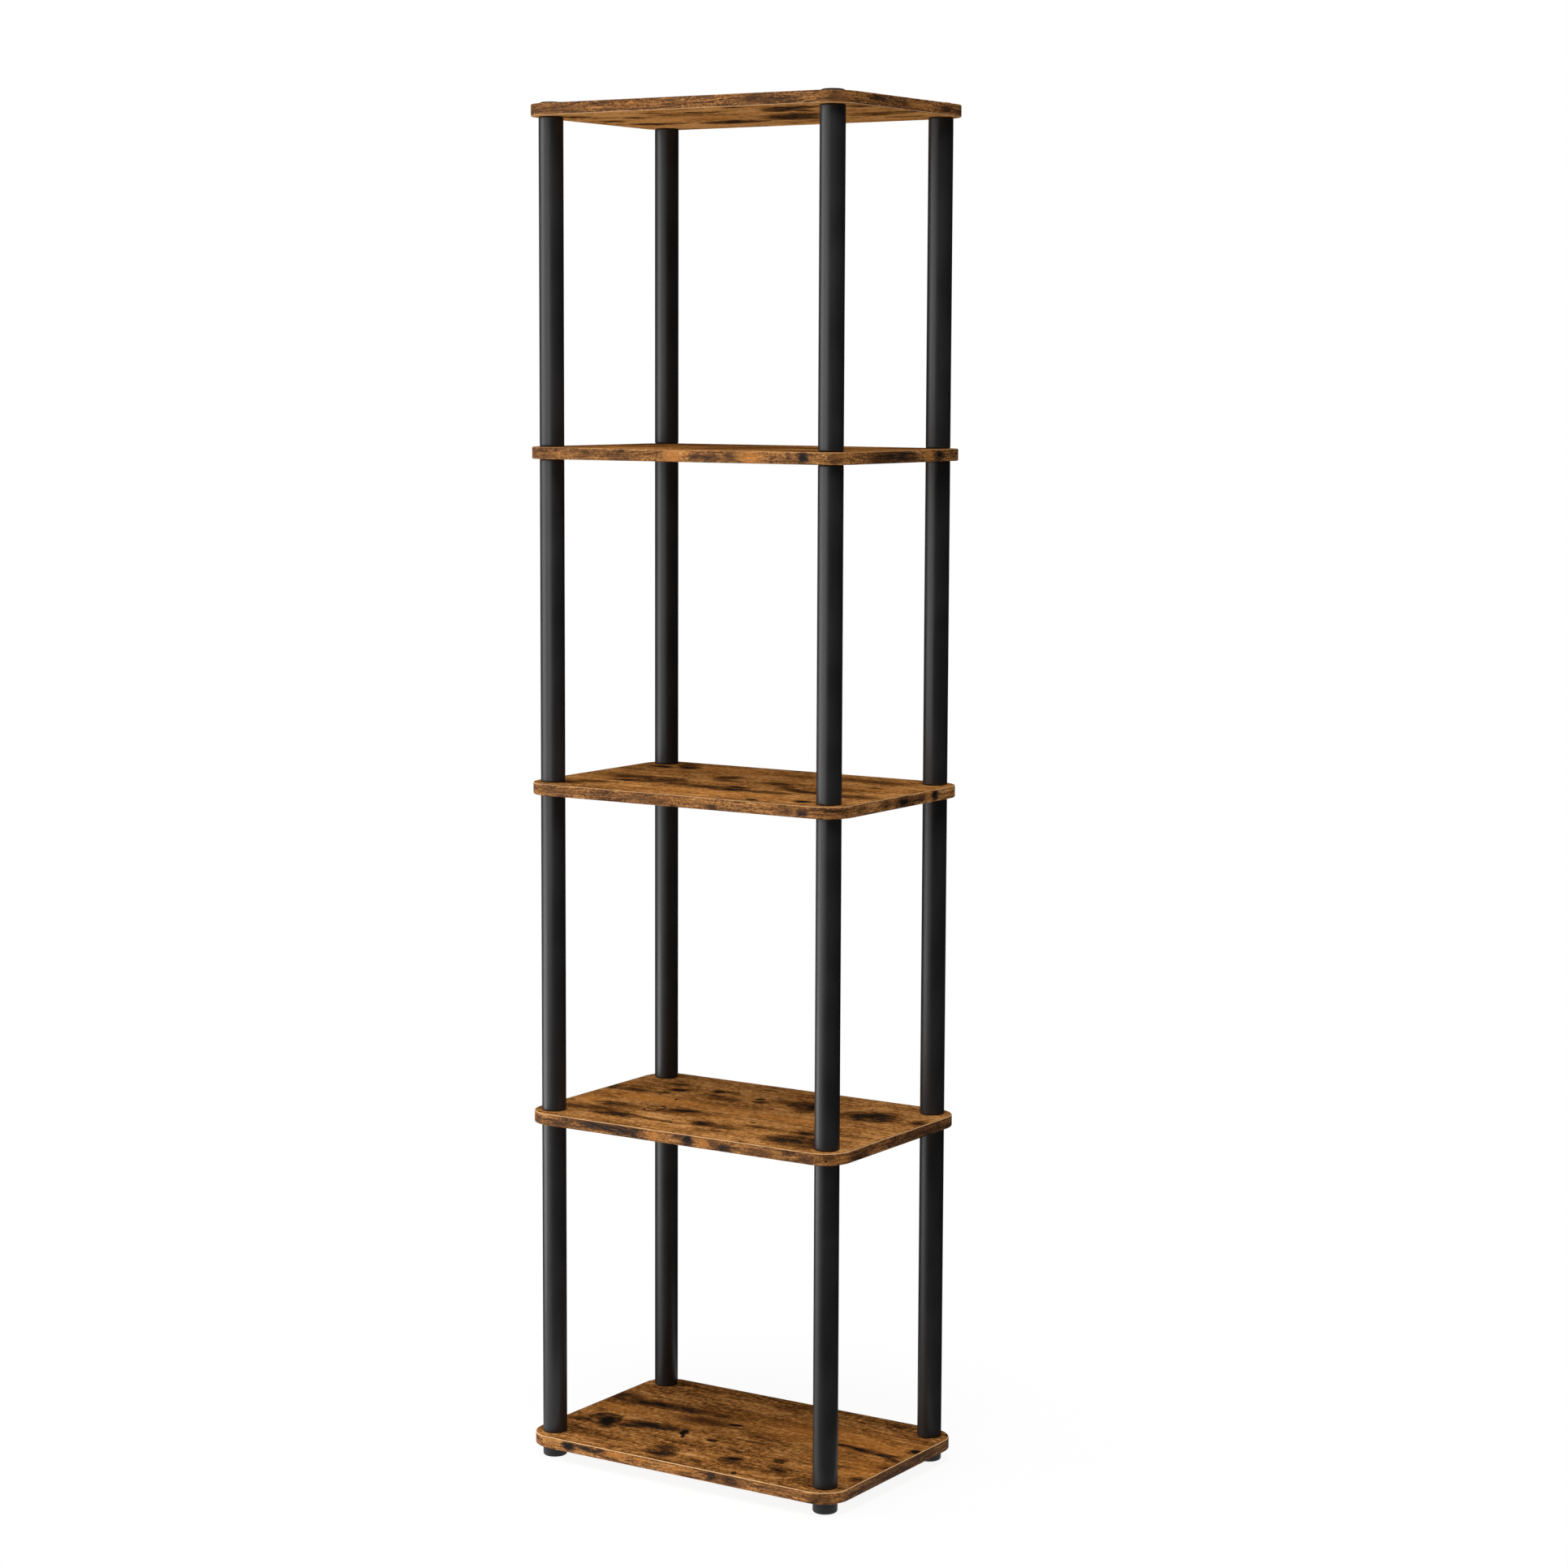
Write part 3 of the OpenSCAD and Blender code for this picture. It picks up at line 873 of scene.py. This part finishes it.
def make_plastic_material(name, tone, mean_roughness, pebble, draw_along, specular):
    """Satin black plastic with a fine pebble. draw_along stretches its faint sheen lines along Z, as on a
    drawn tube."""
    material, graph, shader = new_material(name)
    place = object_point_mm(graph)
    pebbles = graph.noise(place, (pebble, pebble, pebble), *PEBBLE_NOISE).outputs[0]
    sheen_size = (SHEEN_SIZE, SHEEN_SIZE, SHEEN_SIZE * draw_along)
    sheen = graph.noise(place, sheen_size, *SHEEN_NOISE).outputs[0]
    mottle = graph.noise(place, *MOTTLE).outputs[0]
    darker = linear(*(channel - MOTTLE_DARKER for channel in tone))
    lighter = linear(*(channel + MOTTLE_LIGHTER for channel in tone))
    graph.feed(shader.inputs["Base Color"], graph.mix(graph.fade(mottle, *MOTTLE_LEVELS), darker, lighter))
    base_roughness = mean_roughness - ROUGHNESS_OFFSET
    roughness = graph.total((sheen, SHEEN_ROUGHNESS), (mottle, MOTTLE_ROUGHNESS), base_roughness)
    graph.feed(shader.inputs["Roughness"], roughness)
    graph.feed(shader.inputs["Normal"], bump(graph, pebbles, *PEBBLE_RELIEF))
    shader.inputs["Specular IOR Level"].default_value = specular
    return material


wood_print = make_wood_print()
plastics = {kind: make_plastic_material(*facts) for kind, facts in PLASTICS.items()}
materials = {}
for number in range(1, SHELF_COUNT + 1):
    pictured_face = -1 if number == SHELF_COUNT else 1
    materials[f"shelf_{number}"] = make_board_material(number, wood_print, pictured_face)
    materials[f"edge_band_{number}"] = make_edge_material(number, wood_print, pictured_face)

# Plastic of the nodes whose names start so.
PLASTIC_OF = {
    "tube_": "tube",
    "stud_plugs_": "plug",
    "socket_plugs_": "plug",
    "foot_": "foot",
    "cap_": "cap",
}
for name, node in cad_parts.items():
    prefixed = [plastics[kind] for prefix, kind in PLASTIC_OF.items() if name.startswith(prefix)]
    material = materials.get(name) or prefixed[0]
    if not node.material_slots:
        node.data.materials.append(material)
    for material_slot in node.material_slots:
        material_slot.material = material


# Studio: pale floor that keeps a faint shadow, white surroundings, dark cards for reflections, soft lamps.
scene = bpy.context.scene
scene.view_settings.view_transform = "Standard"

# Light of the surroundings that falls on the object. What the camera and reflections see there is white.
ROOM_LEVEL = 0.6

FLOOR_R = 4.0
FLOOR_SEGMENTS = 96
FLOOR_WHITE = (250, 250, 250)
# The floor shows this share of its shadow. It fades from the core to the radius, in metres from the axis.
SHADOW_SHARE = 0.09
SHADOW_R = 0.6
SHADOW_CORE_R = 0.3 * SHADOW_R
# Light that the floor under the rack gives the object from below, fading from the core to the radius.
BOUNCE_LEVEL = 0.3
BOUNCE_R = 0.34
BOUNCE_CORE_R = 0.6 * BOUNCE_R

CARD_TONE = (40, 40, 40)
CARD_STEPS = 16
# Dark cards: the azimuths between which each sweeps, in degrees, its rows (distance from the rack's axis and
# height, in metres), and the strength of the light that it passes to the object. Where that is None, only
# reflections find the card.
DARK_CARDS = {
    "dark_card_right": ((52, 165), [(1.7, 0.0), (1.7, 2.6)], 0.2),
    "dark_card_back": ((165, 286), [(1.7, 0.0), (1.7, 3.8)], None),
    "dark_card_front": ((-16, 52), [(1.7, 0.0), (1.7, 2.2)], None),
    "dark_card_floor": ((-12, 286), [(0.27, 0.002), (1.72, 0.002)], None),
}
# Lamps: azimuth and elevation in degrees, distance, width and height in metres, power in watts, the height on
# the rack's axis that each faces, and whether its light falls on the object or only reflections find it.
SOFTBOXES = {
    "low_left": (-60, 0, 0.8, 0.22, 0.44, 1.2, 0.24, True),
    "key_left": (-52, 0, 1.4, 0.8, 2.0, 12, 1.05, True),
    "front_soft": (-4, 0, 1.05, 0.5, 1.0, 3.8, 1.0, False),
    "top_soft": (38, 64, 4.5, 2.6, 2.6, 160, 0.75, True),
}


def seen_directly(graph):
    """1 for camera, glossy and transmission rays, and 0 for the light that falls on the object."""
    rays = graph.add("LightPath").outputs
    seen = graph.most(rays["Is Camera Ray"], rays["Is Glossy Ray"])
    return graph.most(seen, rays["Is Transmission Ray"])


def make_world():
    world = bpy.data.worlds.new("white_room")
    world.use_nodes = True
    world.node_tree.nodes.clear()
    graph = Graph(world.node_tree)
    room = graph.add("Background", {"Color": WHITE, "Strength": ROOM_LEVEL}).outputs[0]
    backdrop = graph.add("Background", {"Color": WHITE, "Strength": 1.0}).outputs[0]
    mixed = graph.add("MixShader", (seen_directly(graph), room, backdrop)).outputs[0]
    graph.add("OutputWorld", {"Surface": mixed})
    return world


def add_mesh(name, shape, material):
    """Adds to the scene an object made of a bmesh, which is freed."""
    mesh = bpy.data.meshes.new(name)
    shape.to_mesh(mesh)
    shape.free()
    mesh.materials.append(material)
    added = bpy.data.objects.new(name, mesh)
    scene.collection.objects.link(added)
    return added


def make_floor():
    material, graph = bare_material("pale_floor")
    plain = graph.add("BsdfDiffuse", {"Color": linear(*FLOOR_WHITE)}).outputs[0]
    white = graph.add("Emission", {"Color": WHITE, "Strength": 1.0}).outputs[0]
    clear = graph.add("BsdfTransparent").outputs[0]
    place = graph.add("TexCoord").outputs["Object"]
    away = graph.add("VectorMath", (place,), operation="LENGTH").outputs["Value"]
    lights_object = graph.add("LightPath").outputs["Is Diffuse Ray"]
    glow = graph.times(lights_object, graph.fade(away, BOUNCE_R, BOUNCE_CORE_R, 0.0, BOUNCE_LEVEL))
    bounce = graph.add("Emission", {"Color": WHITE, "Strength": glow}).outputs[0]
    lit = graph.add("AddShader", (plain, bounce)).outputs[0]
    shadow_share = graph.fade(away, SHADOW_R, SHADOW_CORE_R, 0.0, SHADOW_SHARE)
    white_share = graph.times(seen_directly(graph), graph.minus(1.0, shadow_share))
    shown = graph.add("MixShader", (white_share, lit, white)).outputs[0]
    below = graph.add("NewGeometry").outputs["Backfacing"]
    mixed = graph.add("MixShader", (below, shown, clear)).outputs[0]
    graph.add("OutputMaterial", {"Surface": mixed})
    # Lamps light the floor, and it isn't sampled as a lamp itself.
    material.cycles.emission_sampling = "NONE"
    shape = bmesh.new()
    bmesh.ops.create_circle(shape, cap_ends=True, segments=FLOOR_SEGMENTS, radius=FLOOR_R)
    floor = add_mesh("floor", shape, material)


def make_dark_card(name, azimuths, rows, light_passed):
    """Dark card that the camera doesn't see. Reflections find it dark, and it may pass a little light to the
    object."""
    material, graph = bare_material(name)
    dark = graph.add("BsdfDiffuse", {"Color": linear(*CARD_TONE)}).outputs[0]
    # Only rays that leave the object find this light, so that the card stays dark in reflections.
    passed = graph.add("Emission", {"Color": WHITE, "Strength": light_passed or 0.0}).outputs[0]
    lights_object = graph.add("LightPath").outputs["Is Diffuse Ray"]
    mixed = graph.add("MixShader", (lights_object, dark, passed)).outputs[0]
    graph.add("OutputMaterial", {"Surface": mixed})
    material.cycles.emission_sampling = "NONE"
    shape = bmesh.new()
    ribs = []
    for step in range(CARD_STEPS + 1):
        azimuth = math.radians(azimuths[0] + (azimuths[1] - azimuths[0]) * step / CARD_STEPS)
        ribs.append([
            shape.verts.new((distance * math.sin(azimuth), -distance * math.cos(azimuth), height))
            for distance, height in rows
        ])
    for left, right in zip(ribs, ribs[1:]):
        for row in range(len(rows) - 1):
            shape.faces.new((left[row], right[row], right[row + 1], left[row + 1]))
    card = add_mesh(name, shape, material)
    card.visible_camera = False
    card.visible_diffuse = light_passed is not None
    card.visible_shadow = light_passed is not None


def make_softbox(name, azimuth, elevation, distance, width, height, power, target_z, lights_diffuse):
    data = bpy.data.lights.new(name, "AREA")
    data.shape = "RECTANGLE"
    data.size = width
    data.size_y = height
    data.energy = power
    lamp = bpy.data.objects.new(name, data)
    scene.collection.objects.link(lamp)
    turn = math.radians(azimuth)
    rise = math.radians(elevation)
    level = math.cos(rise)
    back = Vector((math.sin(turn) * level, -math.cos(turn) * level, math.sin(rise)))
    lamp.location = Vector((0.0, 0.0, target_z)) + back * distance
    lamp.rotation_mode = "QUATERNION"
    lamp.rotation_quaternion = (-back).to_track_quat("-Z", "Y")
    lamp.visible_camera = False
    lamp.visible_diffuse = lights_diffuse


scene.world = make_world()
make_floor()
for name, facts in DARK_CARDS.items():
    make_dark_card(name, *facts)
for name, facts in SOFTBOXES.items():
    make_softbox(name, *facts)

# The photograph's camera, fitted to the rack's corners and columns: place in metres, angles in degrees, lens
# and sensor in mm. The shift is a share of the picture's side.
CAMERA_AT = Vector((2.05712, -3.09298, 1.18707))
CAMERA_HEADING = 32.9611
CAMERA_PITCH = -6.4227
CAMERA_ROLL = 0.2369
CAMERA_LENS = 79.7627
CAMERA_SHIFT_Y = -0.014
SENSOR_WIDTH = 36.0
CLIP_START = 0.05
CLIP_END = 100.0


def make_camera():
    heading = math.radians(CAMERA_HEADING)
    pitch = math.radians(CAMERA_PITCH)
    roll = math.radians(CAMERA_ROLL)
    level = math.cos(pitch)
    ahead = Vector((-math.sin(heading) * level, math.cos(heading) * level, math.sin(pitch)))
    level_right = ahead.cross(Vector((0, 0, 1))).normalized()
    level_up = level_right.cross(ahead)
    right = level_right * math.cos(roll) + level_up * math.sin(roll)
    up = level_up * math.cos(roll) - level_right * math.sin(roll)
    data = bpy.data.cameras.new("photo_camera")
    data.sensor_width = SENSOR_WIDTH
    data.lens = CAMERA_LENS
    data.shift_y = CAMERA_SHIFT_Y
    data.clip_start = CLIP_START
    data.clip_end = CLIP_END
    camera = bpy.data.objects.new("photo_camera", data)
    scene.collection.objects.link(camera)
    turn = Matrix((right, up, -ahead)).transposed().to_4x4()
    camera.matrix_world = Matrix.Translation(CAMERA_AT) @ turn
    return camera


scene.camera = make_camera()
